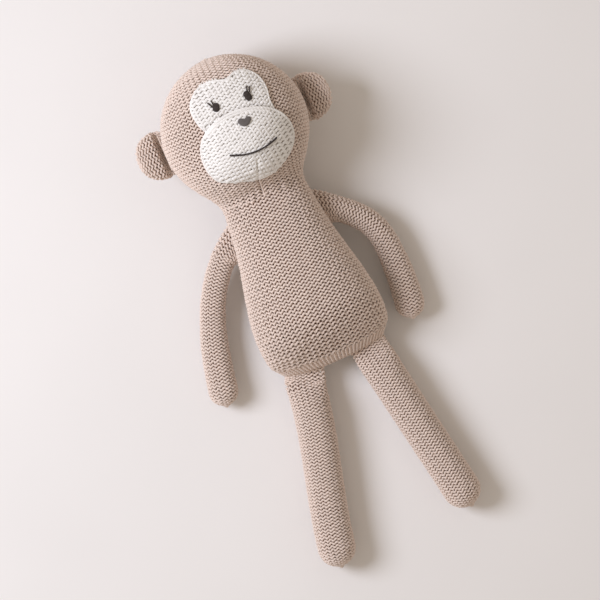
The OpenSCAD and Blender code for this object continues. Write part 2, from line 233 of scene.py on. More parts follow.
class Surface:
    """A grid of points, in closed rings along a piece, that is read between its points."""

    def __init__(self, points):
        self.points = points
        along = np.gradient(points, axis=0)
        around = np.roll(points, -1, 1) - np.roll(points, 1, 1)
        self.normals = unit(np.cross(around, along))
        steps = np.linalg.norm(np.diff(points, axis=0), axis=2)
        self.along = np.concatenate([[0], np.cumsum(steps.mean(axis=1))])
        sides = np.roll(points, -1, 1) - points
        self.girths = np.linalg.norm(sides, axis=2).sum(axis=1)
        self.heights = np.ptp(points[..., 2], axis=1)

    @classmethod
    def around(cls, rings):
        """A surface whose rings start at the front; columns are spread evenly round each ring."""
        even = []
        for ring in rings:
            loop = np.concatenate([ring, ring[:1]])
            run = np.concatenate([[0], np.cumsum(np.linalg.norm(np.diff(loop, axis=0), axis=1))])
            at = np.linspace(0, run[-1], len(ring), endpoint=False)
            even.append(np.stack([np.interp(at, run, loop[:, k]) for k in range(3)], -1))
        return cls(np.array(even))

    def rows_at(self, distance):
        return np.interp(distance, self.along, np.arange(len(self.along)))

    def girth(self, distance):
        return np.interp(distance, self.along, self.girths)

    def at(self, distance, share):
        """Points and normals at distances along the piece and shares of the way round it."""
        rows, columns = self.points.shape[:2]
        r = np.clip(self.rows_at(distance), 0, rows - 1.001)
        i = r.astype(int)
        fr = (r - i)[:, None]
        c = (share % 1.0) * columns
        j = c.astype(int) % columns
        j2 = (j + 1) % columns
        fc = (c - np.floor(c))[:, None]

        def mixed(grid):
            low = grid[i, j] * (1 - fc) + grid[i, j2] * fc
            high = grid[i + 1, j] * (1 - fc) + grid[i + 1, j2] * fc
            return low * (1 - fr) + high * fr

        return mixed(self.points), unit(mixed(self.normals))

    def sheet(self, name, material, columns, depth=0.0, rows=None, start=None, end=None):
        """The surface itself as a mesh, pushed in by depth where there is room for it."""
        start = self.along[0] if start is None else start
        end = self.along[-1] if end is None else end
        rows = rows or max(4, int((end - start) / 2.5))
        distance = np.repeat(np.linspace(start, end, rows), columns)
        share = np.tile(np.arange(columns) / columns, rows)
        points, normals = self.at(distance, share)
        if depth:
            room = 0.42 * np.interp(distance, self.along, self.heights)
            points = points - np.minimum(depth, room)[:, None] * normals
        i = np.arange(rows - 1)[:, None]
        j = np.arange(columns)[None, :]
        j2 = (j + 1) % columns
        low, high = i * columns, (i + 1) * columns
        quads = np.stack([low + j, low + j2, high + j2, high + j], -1)
        u = np.stack([j, j + 1, j + 1, j], -1) / columns + 0 * i[..., None]
        v = np.stack([i, i, i + 1, i + 1], -1) / rows + 0 * j[..., None]
        chart = np.stack([u, v], -1).reshape(-1, 2) * 0.98 + 0.01
        return make_mesh(name, points, quads.reshape(-1, 4), material, None, chart)


def stitched(rng, stitches, closed):
    """Where the points of one course lie in stitches, and three slow random wobbles along it."""
    count = int(round(stitches * STEPS))
    t = np.arange(count + (0 if closed else 1)) * stitches / count
    knots = int(math.ceil(stitches))
    wobble = rng.normal(0, 1, (3, knots + 2))
    if closed:
        wobble[:, knots] = wobble[:, 0]
    which = t.astype(int)
    fade = t - which
    return t, wobble[:, which] * (1 - fade) + wobble[:, which + 1] * fade


def course(strands, rng, place, stitches, pitch, middle, radius, closed, legs=True, crown=CROWN, phase=0.0,
           pinch=0.0, flat=1.0):
    """One course of purl stitches. place gives points and normals for distances and shares.

    A pinched course is thin at each crest and trough, so that two courses leave round holes there.
    """
    t, uneven = stitched(rng, stitches, closed)
    angle = 2 * math.pi * (t + phase)
    share = (t + 0.025 * np.sin(2 * angle) + 0.03 * uneven[0]) / stitches
    distance = middle + pitch * (WAVE * np.sin(angle) + 0.035 * uneven[1])
    path, normals = place(distance, share)
    path = path + normals * (0.06 * uneven[2] - crown * np.cos(2 * angle))[:, None]
    thick = radius * (1 + 0.04 * uneven[2] - 0.07 * np.cos(2 * angle))
    thick *= 1 - pinch * (1 + 0.15 * np.sin(angle)) * np.sin(angle) ** 4
    strands.add(path, normals, thick, closed, flat=flat)
    if legs:
        roots = np.arange((-phase) % 0.5, stitches - (0.01 if closed else 0), 0.5)
        lean = np.where(np.arange(len(roots)) % 2 == 0, 0.05, -0.05)
        steps = np.array([0.0, 0.35, 0.65, 1.0])
        d = middle + pitch * np.broadcast_to(steps, (len(roots), 4))
        at = (roots[:, None] + lean[:, None] * (2 * steps - 1)) / stitches
        points, normals = place(d.ravel(), at.ravel())
        points = points - normals * np.tile(LEG_DEPTH + 0.25 * np.sin(math.pi * steps), len(roots))[:, None]
        strands.add_short(points.reshape(-1, 4, 3), normals.reshape(-1, 4, 3), LEG_RADIUS)


def knit(name, surface, material, pitch, start, end, seed, stretch=0.0):
    """Courses of purl stitches round a surface, wider apart by up to stretch where its front is steep."""
    rng = np.random.RandomState(seed)
    strands = Strands(name, material)
    steps = np.linspace(start, end, 200)
    _, fronts = surface.at(steps, np.zeros(200))
    pitches = pitch * (1 + stretch * (1 - np.abs(fronts[:, 2])))
    courses = np.concatenate([[0], np.cumsum(np.diff(steps) * 2 / (pitches[1:] + pitches[:-1]))])
    count = int(round(courses[-1]))
    courses = courses * count / courses[-1]
    for row in range(count):
        low, middle, high = np.interp([row, row + 0.5, row + 1], courses, steps)
        stitches = max(4, int(round(surface.girth(middle) / WALE)))
        radius = YARN_RADIUS * math.sqrt((high - low) / pitch)
        course(strands, rng, surface.at, stitches, high - low, middle, radius, True)
    return strands


def ribs(strands, surface, length):
    """Columns of stitches that stand up from an edge, every second one sunk between its neighbours."""
    count = 2 * int(round(surface.girth(length / 2) / (2 * RIB_PITCH)))
    steps = np.linspace(0.2, length, 13)
    for first, (lift, radius) in enumerate((PROUD_RIB, SUNK_RIB)):
        share = np.arange(first, count, 2)[:, None] / count + 0.0011 * np.sin(steps * math.pi / 0.9)
        distance = np.broadcast_to(steps, share.shape).ravel()
        points, normals = surface.at(distance, share.ravel())
        points = points + normals * lift
        strands.add_short(points.reshape(-1, 13, 3), normals.reshape(-1, 13, 3), radius)


def running_stitches(name, place, material, count, share, radius):
    """Short stitches in a ring, each covering a share of its place."""
    step = np.linspace(0, share, 6)
    at = (np.arange(count)[:, None] + step) / count
    points, normals = place(at.ravel())
    lift = np.tile(0.2 + 0.7 * np.sin(math.pi * step / share), count)[:, None]
    points = points + normals * lift
    strands = Strands(name, material)
    strands.add_short(points.reshape(-1, 6, 3), normals.reshape(-1, 6, 3), radius)
    return strands.build()


def drawn_up(surface, name, rise=1.0):
    """The yarn that closes the end of a tube: a small ring, and threads drawn across its middle."""
    strands = Strands(name, BODY_YARN)
    ring, normals = surface.at(np.full(30, surface.along[-1] - 1.3), np.arange(30) / 30)
    strands.add(ring + 0.4 * normals, normals, 0.7, True)
    out = unit(normals.mean(axis=0))
    for start in (0, 5, 10):
        ends = ring[[start, start + 15]]
        share = np.linspace(0, 1, 7)[:, None]
        path = ends[0] * (1 - share) + ends[1] * share
        path = path + out * (0.35 + (rise + 0.15 * start / 5) * np.sin(math.pi * share))
        strands.add(path, np.tile(out, (7, 1)), 0.65, False)
    return strands.build()


# ---- Materials -----------------------------------------------------------------------------------


class Nodes:
    """A material with a Principled shader, and short calls that add and link its nodes."""

    def __init__(self, name):
        self.material = bpy.data.materials.new(name)
        self.material.use_nodes = True
        self.tree = self.material.node_tree
        self.shader = next(n for n in self.tree.nodes if n.type == "BSDF_PRINCIPLED")

    def add(self, kind, **values):
        node = self.tree.nodes.new("ShaderNode" + kind)
        for name, value in values.items():
            if name in node.inputs:
                node.inputs[name].default_value = value
            else:
                setattr(node, name, value)
        return node

    def link(self, source, target):
        self.tree.links.new(source, target)

    def maths(self, operation, a, b):
        node = self.add("Math", operation=operation)
        for socket, value in zip(node.inputs, (a, b)):
            if isinstance(value, (int, float)):
                socket.default_value = value
            else:
                self.link(value, socket)
        return node.outputs[0]

    def noise(self, vector, scale, detail=2.0, roughness=0.5):
        node = self.add("TexNoise", Scale=scale, Detail=detail, Roughness=roughness)
        self.link(vector, node.inputs["Vector"])
        return node.outputs["Fac"]

    def ramp(self, factor, stops):
        node = self.add("ValToRGB")
        elements = node.color_ramp.elements
        for element, (place, colour) in zip(elements, (stops[0], stops[-1])):
            element.position = place
            element.color = (*colour, 1)
        for place, colour in stops[1:-1]:
            elements.new(place).color = (*colour, 1)
        self.link(factor, node.inputs[0])
        return node.outputs["Color"]

    def bump(self, height, strength, distance):
        node = self.add("Bump", Strength=strength, Distance=distance)
        self.link(height, node.inputs["Height"])
        self.link(node.outputs[0], self.shader.inputs["Normal"])

    def surface(self, roughness, sheen, specular=0.25):
        self.shader.inputs["Roughness"].default_value = roughness
        self.shader.inputs["Sheen Weight"].default_value = sheen
        self.shader.inputs["Sheen Roughness"].default_value = 0.6
        self.shader.inputs["Specular IOR Level"].default_value = specular


def scaled(colour, k):
    return tuple(min(1.0, c * k) for c in colour)


def yarn_material(name, colour, sheen, contrast=0.10):
    """Plied yarn: colour that drifts along the strand, fine fibres, and plies as raised diagonal bands."""
    m = Nodes(name)
    uv = m.add("UVMap", uv_map="yarn").outputs[0]
    place = m.add("TexCoord").outputs["Object"]
    stretched = m.add("Mapping")
    stretched.inputs["Scale"].default_value = (0.12, 1.0, 1.0)
    m.link(uv, stretched.inputs["Vector"])
    drift = m.noise(stretched.outputs[0], 1.0, 3.0)
    fibres = m.noise(place, 1900.0, 3.0, 0.65)
    tone = m.maths("ADD", m.maths("MULTIPLY", drift, 0.6), m.maths("MULTIPLY", fibres, 0.4))
    stops = [(0.30, scaled(colour, 1 - contrast)), (0.52, colour), (0.72, scaled(colour, 1 + contrast))]
    m.link(m.ramp(tone, stops), m.shader.inputs["Base Color"])
    split = m.add("SeparateXYZ")
    m.link(uv, split.inputs[0])
    round_strand = m.maths("MULTIPLY", split.outputs[1], PLIES)
    turn = m.maths("ADD", round_strand, m.maths("DIVIDE", split.outputs[0], PLY_PITCH))
    plies = m.maths("ABSOLUTE", m.maths("SINE", m.maths("MULTIPLY", turn, math.pi), 0.0), 0.0)
    height = m.maths("ADD", m.maths("MULTIPLY", plies, 0.7), m.maths("MULTIPLY", fibres, 0.6))
    m.bump(height, 0.55, 0.00035)
    rough = m.add("MapRange")
    rough.inputs["To Min"].default_value = 0.82
    rough.inputs["To Max"].default_value = 0.98
    m.link(fibres, rough.inputs["Value"])
    m.surface(0.9, sheen)
    m.link(rough.outputs[0], m.shader.inputs["Roughness"])
    return m.material


def cloth_material(name, colour, scale, sheen=0.2, depth=0.0004):
    """Matted fibres with no direction, for felt and filling, and for the dark sheets under the yarn that
    paint the shade between its stitches.
    """
    m = Nodes(name)
    place = m.add("TexCoord").outputs["Object"]
    tufts = m.noise(place, scale, 4.0, 0.6)
    fine = m.noise(place, scale * 5, 2.0, 0.6)
    tone = m.maths("ADD", m.maths("MULTIPLY", tufts, 0.6), m.maths("MULTIPLY", fine, 0.4))
    stops = [(0.3, scaled(colour, 0.88)), (0.7, scaled(colour, 1.12))]
    m.link(m.ramp(tone, stops), m.shader.inputs["Base Color"])
    m.bump(tone, 0.5, depth)
    m.surface(0.95, sheen)
    return m.material


BODY_YARN = yarn_material("body_yarn_look", (0.82, 0.685, 0.60), sheen=0.12)
# painted shade: a dark brown sheet under the yarn stands for the shadow in the gaps between stitches
BODY_PAINTED_SHADE = cloth_material("body_painted_shade_look", (0.36, 0.175, 0.10), 900.0, sheen=0.0)
BODY_THREAD = cloth_material("body_thread_look", (0.76, 0.62, 0.53), 1400.0, sheen=0.1)
CREAM_YARN = yarn_material("cream_yarn_look", (0.94, 0.915, 0.88), sheen=0.1)
# painted shade: a dark sheet under the cream yarn stands for the shadow in the patches' holes
CREAM_PAINTED_SHADE = cloth_material("cream_painted_shade_look", (0.40, 0.33, 0.28), 900.0, sheen=0.0)
DARK_YARN = yarn_material("dark_thread_look", (0.068, 0.054, 0.05), sheen=0.0, contrast=0.3)
NOSE_FELT = cloth_material("nose_felt_look", (0.14, 0.125, 0.118), 1500.0, sheen=0.0)
FILLING = cloth_material("filling_look", (0.80, 0.79, 0.76), 250.0, depth=0.002)


# ---- Torso and head: one knitted surface from the hem to the crown ---------------------------------

HEM_Y = -58.6
HEM_HALF_DEPTH = 1.5
LIP_Y = -57.6  # the belly rolls over above its hem
LIP_INSET = 1.4  # how much narrower and lower the hem is than the lip
LIP_DROP = 1.2
HEAD_Y = 110.0
HEAD_RADIUS = 50.0
HEAD_DEPTH = 42.0
HEAD_Z = 41.5
FACE_Y = 112.0
NECK_Y = 62.0
TUCK_X = 1.0  # the tuck that runs down from the muzzle's dart, and how it leans
TUCK_Y = 61.0
TUCK_LEAN = 0.075
TUCK_DEPTH = 2.6

# [y, half width, half depth, height of the middle]
BODY_STATIONS = [
    [LIP_Y, 37.0, 6.6, 18.2],
    [-55.0, 38.9, 9.2, 19.0],
    [-51.0, 41.0, 13.2, 20.4],
    [-45.0, 43.2, 19.0, 22.8],
    [-38.0, 44.3, 24.5, 25.7],
    [-28.0, 44.6, 29.7, 28.8],
    [-12.0, 42.6, 32.1, 30.5],
    [8.0, 38.3, 31.8, 30.6],
    [26.0, 34.2, 29.0, 30.4],
    [42.0, 31.7, 25.9, 30.6],
    [54.0, 30.3, 23.6, 31.0],
    [NECK_Y, 29.6, 22.3, 31.6],
    [67.0, 31.0, 23.9, 33.2],
    [72.5, 34.3, 28.3, 37.2],
    [80.0, 40.0, 33.8, HEAD_Z],
]


def body_profile():
    """Rings from the hem to the crown: y, half width, half depth and height of the middle."""
    _, a, c, z = BODY_STATIONS[0]
    roll = np.sin(np.radians(np.arange(0, 89, 12.0)))
    lip = np.column_stack([
        LIP_Y + (HEM_Y - LIP_Y) * np.sqrt(1 - roll**2),
        a - LIP_INSET * (1 - roll),
        HEM_HALF_DEPTH + (c - HEM_HALF_DEPTH) * roll,
        z - LIP_DROP * (1 - roll),
    ])
    y = np.arange(LIP_Y, 79.5, 0.75)
    lower = np.column_stack([y, hermite(BODY_STATIONS, y)])
    degrees = np.arange(-36.5, 89.3, 0.75)
    angle = np.radians(degrees)
    fullness = 2 + 0.6 * smooth_step(degrees, -36, 20)
    upper = np.column_stack([
        HEAD_Y + (HEAD_RADIUS - PROUD) * np.sin(angle),
        HEAD_RADIUS * np.cos(angle),
        HEAD_DEPTH * (1 - np.abs(np.sin(angle)) ** fullness) ** (1 / fullness),
        np.full(len(angle), HEAD_Z),
    ])
    return np.concatenate([lip, lower, upper])


def body_surface():
    turn = np.linspace(0, 2 * math.pi, 360, endpoint=False)
    rings = []
    for y, a, c, z in body_profile():
        a, c = a - PROUD, max(c - PROUD, 0.7)
        squareness = 2 / (2.15 + 0.2 * smooth_step(y, 70, 95))
        across = np.sign(np.sin(turn)) * np.abs(np.sin(turn)) ** squareness
        front = np.sign(np.cos(turn)) * np.abs(np.cos(turn)) ** squareness
        x = a * across + 0.6 * (1 - smooth_step(y, -50, -10))
        height = z + c * front
        hem = 1 - smooth_step(y, HEM_Y, HEM_Y + 14)
        at = y + 4.4 * hem * np.abs(x / 38) ** 2.5
        gathers = 0.55 * np.exp(-(((y - NECK_Y) / 3.2) ** 2))
        height = height + gathers * np.cos(2 * math.pi * x / 8.0) * front
        fold = TUCK_X + TUCK_LEAN * (y - TUCK_Y)
        tuck = smooth_step(y, 58, 64) * (1 - smooth_step(y, 71, 76))
        tuck = tuck * np.exp(-(((x - fold + 1.2) / 1.3) ** 2))
        height = np.where(np.cos(turn) > 0, height - TUCK_DEPTH * tuck, height)
        rings.append(np.column_stack([x, at, floored(height)]))
    return Surface.around(np.array(rings))


def body_row(y):
    return np.argmin(np.abs(body_profile()[:, 0] - y))


def inner_pieces(name, surface, columns, start=None, end=None):
    """A dark sheet under the stitches that paints the shade between them, and the filling inside it."""
    painted_shade = surface.sheet(f"{name}_liner", BODY_PAINTED_SHADE, columns, PAINTED_SHADE_DEPTH, start=start, end=end)
    filling = surface.sheet(f"{name}_filling", FILLING, columns, FILLING_DEPTH, start=start, end=end)
    return painted_shade, filling


BODY = body_surface()
NECK_AT = BODY.along[body_row(NECK_Y)]
BELLY_AT = NECK_AT * 0.52
FACE_AT = BODY.along[body_row(FACE_Y)]
TOP_AT = BODY.along[-1] - 1.0
BODY_STRETCH = 0.6  # how much wider apart the courses lie where the front is steep

torso_low = knit("torso_knit_lower", BODY, BODY_YARN, BODY_PITCH, RIB_LENGTH - 0.8, BELLY_AT, 1, BODY_STRETCH)
ribs(torso_low, BODY, RIB_LENGTH)
course(torso_low, np.random.RandomState(5), BODY.at, 44, 1.2, 0.3, 0.8, True, False)
torso_low = torso_low.build()
torso_high = knit("torso_knit_upper", BODY, BODY_YARN, BODY_PITCH, BELLY_AT, NECK_AT, 2).build()
head_low = knit("head_knit_lower", BODY, BODY_YARN, BODY_PITCH, NECK_AT, FACE_AT, 3).build()
head_high = knit("head_knit_upper", BODY, BODY_YARN, BODY_PITCH, FACE_AT, TOP_AT, 4, BODY_STRETCH).build()
torso_painted_shade, torso_filling = inner_pieces("torso", BODY, 96, end=NECK_AT)
head_painted_shade, head_filling = inner_pieces("head", BODY, 96, start=NECK_AT)
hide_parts("torso_skin")
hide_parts("head_skin")
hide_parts("torso_stuffing")
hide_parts("head_stuffing")


def neck_gather(share):
    return BODY.at(NECK_AT + 0.8 * np.sin(2 * math.pi * 5 * share), share)


gather = running_stitches("neck_gather", neck_gather, BODY_YARN, 34, 0.55, 0.62)
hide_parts("neck_thread")


crown = drawn_up(BODY, "crown_gather", 0.3)
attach(crown, "head")
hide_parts("crown_thread")


def chin_tuck():
    """The line of stitches that holds the tuck under the muzzle."""
    y = np.linspace(TUCK_Y, 74.0, 12)
    x = TUCK_X + TUCK_LEAN * (y - TUCK_Y)
    columns = np.arange(-60, 61)
    rows = [body_row(v) for v in y]
    share = [np.interp(v, BODY.points[row, columns, 0], columns / 360) for v, row in zip(x, rows)]
    points, normals = BODY.at(BODY.along[rows], np.array(share))
    strands = Strands("chin_tuck", BODY_YARN)
    strands.add(points + 0.7 * normals, normals, 0.7, False)
    return strands.build()


tuck = chin_tuck()
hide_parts("chin_stitch")
for piece in (
    torso_low, torso_high, head_low, head_high,
    torso_painted_shade, torso_filling, head_painted_shade, head_filling, gather, tuck,
):
    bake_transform(piece)


# ---- Limbs -----------------------------------------------------------------------------------------


def spine(start, length, headings, back, lead):
    """Points a millimetre apart, straight along lead behind the start and then by headings(share)."""
    steps = np.arange(0.5, length, 1.0)
    travel = np.array([headings(s / length) for s in steps])
    forward = np.concatenate([[start[:2]], start[:2] + np.cumsum(travel, axis=0)])
    behind = start[:2] - lead * np.arange(back, 0, -1.0)[:, None]
    return np.concatenate([behind, forward])


def limb_surface(points, back, stations, tip_radius, tip_z, root_normal, root_length):
    """Rings along a spine, widths from stations by distance, and a round end.

    The first ring faces along root_normal, and the rings have turned to the spine by root_length.
    """
    length = len(points) - 1 - back
    run = np.arange(len(points)) - back
    body = np.arange(-back, length - tip_radius, 0.75)
    shape = hermite(stations, body)
    angle = np.radians(np.arange(0, 88.5, 4.0))
    width = PROUD + (tip_radius - PROUD) * np.cos(angle)
    tip = np.column_stack([width, width, np.full(len(angle), tip_z)])
    at = np.concatenate([body, length - tip_radius + (tip_radius - PROUD) * np.sin(angle)])
    shape = np.concatenate([shape, tip])
    turn = np.linspace(0, 2 * math.pi, 180, endpoint=False)
    rings = []
    for s, (a, c, z) in zip(at, shape):
        a, c = a - PROUD, c - PROUD
        centre = np.array([np.interp(s, run, points[:, k]) for k in (0, 1)])
        ahead = np.array([np.interp(s + 1, run, points[:, k]) for k in (0, 1)])
        behind = np.array([np.interp(s - 1, run, points[:, k]) for k in (0, 1)])
        mix = smooth_step(s, -back, root_length - back)
        travel = unit(np.array(root_normal) * (1 - mix) + unit(ahead - behind) * mix)
        across = np.array([travel[1], -travel[0]])
        xy = centre + a * np.sin(turn)[:, None] * across
        rings.append(np.column_stack([xy, floored(z + c * np.cos(turn))]))
    return Surface.around(np.array(rings))


ARM_LENGTH = {"left": 95, "right": 101}
HAND_RADIUS = 10.2
HAND_Z = 10.9
# Degrees below the horizontal at distances from the shoulder
ARM_HEADINGS = {
    "left": [[0, 36], [14, 47], [23, 59], [32, 74], [42, 85], [56, 90], [73, 95], [95, 101]],
    "right": [[0, 43], [20, 55.9], [40, 66.5], [60, 73.9], [80, 78.4], [101, 80]],
}


def arm(side):
    s = SIDE[side]
    length = ARM_LENGTH[side]
    bend = ARM_HEADINGS[side]
    back = 17
    lead = np.array([s * math.cos(math.radians(30)), -math.sin(math.radians(30))])

    def headings(share):
        heading = math.radians(hermite(bend, np.array([share * length]))[0, 0])
        return np.array([s * math.cos(heading), -math.sin(heading)])

    points = spine(np.array([s * SHOULDER[0], SHOULDER[1]]), length, headings, back, lead)
    stations = [
        [-back, 13.0, 4.6, 20.0],
        [-9, 12.0, 6.4, 20.0],
        [-4, 10.2, 8.0, 20.0],
        [2, 8.9, 8.6, 19.4],
        [12, 8.7, 8.7, 17.5],
        [40, 8.9, 8.9, 13.0],
        [65, 9.8, 9.8, 11.2],
        [length - 10, HAND_RADIUS, HAND_RADIUS, HAND_Z],
    ]
    return limb_surface(points, back, stations, HAND_RADIUS, HAND_Z, (s, 0), 20)


FOOT_RADIUS = 12.9
FOOT_Z = 13.6
# Length, degrees outwards, degrees of bow, degrees that the root leans, and the root's half width
LEGS = {"left": (119, 9.7, 0.0, 9.7, 13.2), "right": (123, 7.5, 7.5, 17.0, 14.2)}


def leg(side):
    s = SIDE[side]
    length, splay, bow, lean, root = LEGS[side]
    back = 14
    lead = np.array([s * math.sin(math.radians(lean)), -math.cos(math.radians(lean))])

    def headings(share):
        heading = math.radians(splay + bow * math.sin(math.pi * share))
        return np.array([s * math.sin(heading), -math.cos(heading)])

    points = spine(np.array([s * HIP[0], HIP[1]]), length, headings, back, lead)
    stations = [
        [-back, root - 1.5, 2.4, 17.0],
        [-10, root, 3.6, 17.0],
        [-7, root, 3.8, 15.8],
        [-3, root, 4.8, 14.8],
        [4, 13.4, 9.2, 14.4],
        [12, 13.2, 12.6, 14.6],
        [26, 13.1, 13.1, 14.2],
        [length - 13, FOOT_RADIUS, FOOT_RADIUS, FOOT_Z],
    ]
    return limb_surface(points, back, stations, FOOT_RADIUS, FOOT_Z, (0, -1), 12)


for side, s in SIDE.items():
    surface = arm(side)
    tip_at = surface.along[-1] - 0.5
    knitted = knit(f"{side}_arm_knit", surface, BODY_YARN, ARM_PITCH, 0.5, tip_at, 20 + s).build()
    painted_shade, filling = inner_pieces(f"{side}_arm", surface, 40)
    closing = drawn_up(surface, f"{side}_hand_gather")
    for piece in (knitted, painted_shade, filling):
        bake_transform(piece)
    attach(closing, f"{side}_arm")
    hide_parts(f"{side}_arm_skin")
    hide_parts(f"{side}_arm_stuffing")
    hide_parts(f"{side}_hand_thread")

    surface = leg(side)
    tip_at = surface.along[-1] - 0.5
    knitted = knit(f"{side}_leg_knit", surface, BODY_YARN, LEG_PITCH, 0.5, tip_at, 30 + s).build()
    painted_shade, filling = inner_pieces(f"{side}_leg", surface, 48)
    closing = drawn_up(surface, f"{side}_foot_gather")
    for piece in (knitted, painted_shade, filling):
        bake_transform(piece)
    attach(closing, f"{side}_leg")
    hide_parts(f"{side}_leg_skin")
    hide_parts(f"{side}_leg_stuffing")
    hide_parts(f"{side}_foot_thread")


# ---- Ears ------------------------------------------------------------------------------------------


def ear(side):
    """A flat padded pad: rings outwards from the side of the head."""
    s = SIDE[side]
    centre = EAR - [0, s * EAR_SHIFT, 0]
    rings = []
    turn = np.linspace(0, 2 * math.pi, 120, endpoint=False)
    out = np.concatenate([np.arange(-10.0, 0, 0.5), EAR_REACH * np.sin(np.radians(np.arange(0, 88, 3.0)))])
    for x in out:
        share = np.clip(x / EAR_REACH, 0, 1)
        a = EAR_REACH * (1 - share**2) ** 0.40 if x > 0 else EAR_REACH - 0.04 * x * x
        rise = smooth_step(x, -1.5, 3.0)
        c = EAR_HALF_THICKNESS * (1 - share**2) ** 0.45 * (0.06 + 0.94 * rise)
        sunk = EAR_CREASE * (1 - rise)
        rings.append(np.column_stack([
            np.full(len(turn), centre[0] + x) * [s],
            centre[1] + a * np.sin(turn) * -s,
            centre[2] + EAR_CUP * max(x, 0) - sunk + c * np.cos(turn),
        ]))
    return Surface.around(np.array(rings))


for side, s in SIDE.items():
    surface = ear(side)
    tip_at = surface.along[-1] - 0.5
    knitted = knit(f"{side}_ear_knit_look", surface, BODY_YARN, EAR_PITCH, 0.5, tip_at, 40 + s).build()
    painted_shade, filling = inner_pieces(f"{side}_ear", surface, 40)
    for piece in (knitted, painted_shade, filling):
        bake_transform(piece)
    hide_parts(f"{side}_ear_knit")
    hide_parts(f"{side}_ear_padding")


# ---- Face ------------------------------------------------------------------------------------------

FACE = np.array([4.5, FACE_Y])
FACE_TILT = math.radians(2.5)
PATCH_PITCH = 2.45
PATCH_WALE = 4.0
MASK_YARN = 1.22  # radius of the yarn in each patch
MUZZLE_YARN = 1.24
# how deep the sheet of painted shade lies under the cream yarn
PATCH_PAINTED_SHADE_DEPTH = 0.65
PATCH_CROWN = 0.16
PATCH_PINCH = 0.36  # the cream yarn is pinched to leave round holes, and flattened
PATCH_FLAT = 0.6
COURSE_DRIFT = 0.08  # how far each course is shifted against the one below, in stitches
MASK_LIFT = 1.5
MUZZLE_RISE = 6.8

# Outlines in the frame's x and y, clockwise from the lower left
MASK_POINTS = [
    (-19, 114.6), (-21.6, 120.6), (-22.9, 128.5), (-22, 134.4), (-18.2, 139.8), (-11.5, 144.2), (-4, 145.3),
    (2, 143.9), (8.2, 142.2), (14, 144.2), (19.5, 144), (25, 140.6), (29, 134.5), (30.4, 126.5), (29.2, 118),
    (27, 108), (4, 104), (-14, 108),
]
MUZZLE_POINTS = [
    (-24, 81.6), (-27.6, 88.5), (-28.5, 96), (-27.2, 104), (-22.8, 111.2), (-15.5, 116.6), (-6, 119.6),
    (3, 120.4), (12, 119.2), (20.5, 116.4), (28, 112), (33.4, 105.6), (35.6, 97.5), (34.4, 90), (29.8, 83),
    (22.5, 77.4), (13, 73), (4, 72), (-6, 74.2), (-15.5, 77.2),
]


def closed_curve(points):
    """A smooth closed curve through points."""
    per = 12  # steps from one point to the next
    points = np.asarray(points, float)
    before, after, later = np.roll(points, 1, 0), np.roll(points, -1, 0), np.roll(points, -2, 0)
    t = (np.arange(per) / per)[None, :, None]
    a, b, c, d = (x[:, None] for x in (before, points, after, later))
    curve = 0.5 * (2 * b + (c - a) * t + (2 * a - 5 * b + 4 * c - d) * t**2 + (3 * b - a - 3 * c + d) * t**3)
    return curve.reshape(-1, 2)


def to_face(points):
    """Frame x and y as distances across and up the face's own tilted plane."""
    d = points - FACE
    c, s = math.cos(FACE_TILT), math.sin(FACE_TILT)
    return np.stack([d[:, 0] * c - d[:, 1] * s, d[:, 0] * s + d[:, 1] * c], -1)


def front_heights():
    """The height of the body's front over a grid of x and y, a millimetre apart."""
    front = np.arange(-110, 111)
    rings = np.array([np.interp(FRONT_X, ring[front, 0], ring[front, 2]) for ring in BODY.points])
    rows = BODY.points[:, 0, 1]
    return np.array([np.interp(FRONT_Y, rows, rings[:, k]) for k in range(len(FRONT_X))])


FRONT_X = np.arange(-44, 45)
FRONT_Y = np.arange(64, 158)
FRONT = front_heights()


def on_face(p, q, lift):
    """The point of the head's front at p across and q up in the face's own tilted plane."""
    p, q, lift = np.broadcast_arrays(np.asarray(p, float), np.asarray(q, float), np.asarray(lift, float))
    x = FACE[0] + p * math.cos(FACE_TILT) + q * math.sin(FACE_TILT)
    y = FACE[1] - p * math.sin(FACE_TILT) + q * math.cos(FACE_TILT)
    i = np.clip(x - FRONT_X[0], 0, len(FRONT_X) - 1.1)
    j = np.clip(y - FRONT_Y[0], 0, len(FRONT_Y) - 1.1)
    k, m = i.astype(int), j.astype(int)
    i, j = i - k, j - m
    low = FRONT[k, m] * (1 - i) + FRONT[k + 1, m] * i
    high = FRONT[k, m + 1] * (1 - i) + FRONT[k + 1, m + 1] * i
    return np.stack([x, y, low * (1 - j) + high * j + PROUD + lift], -1)


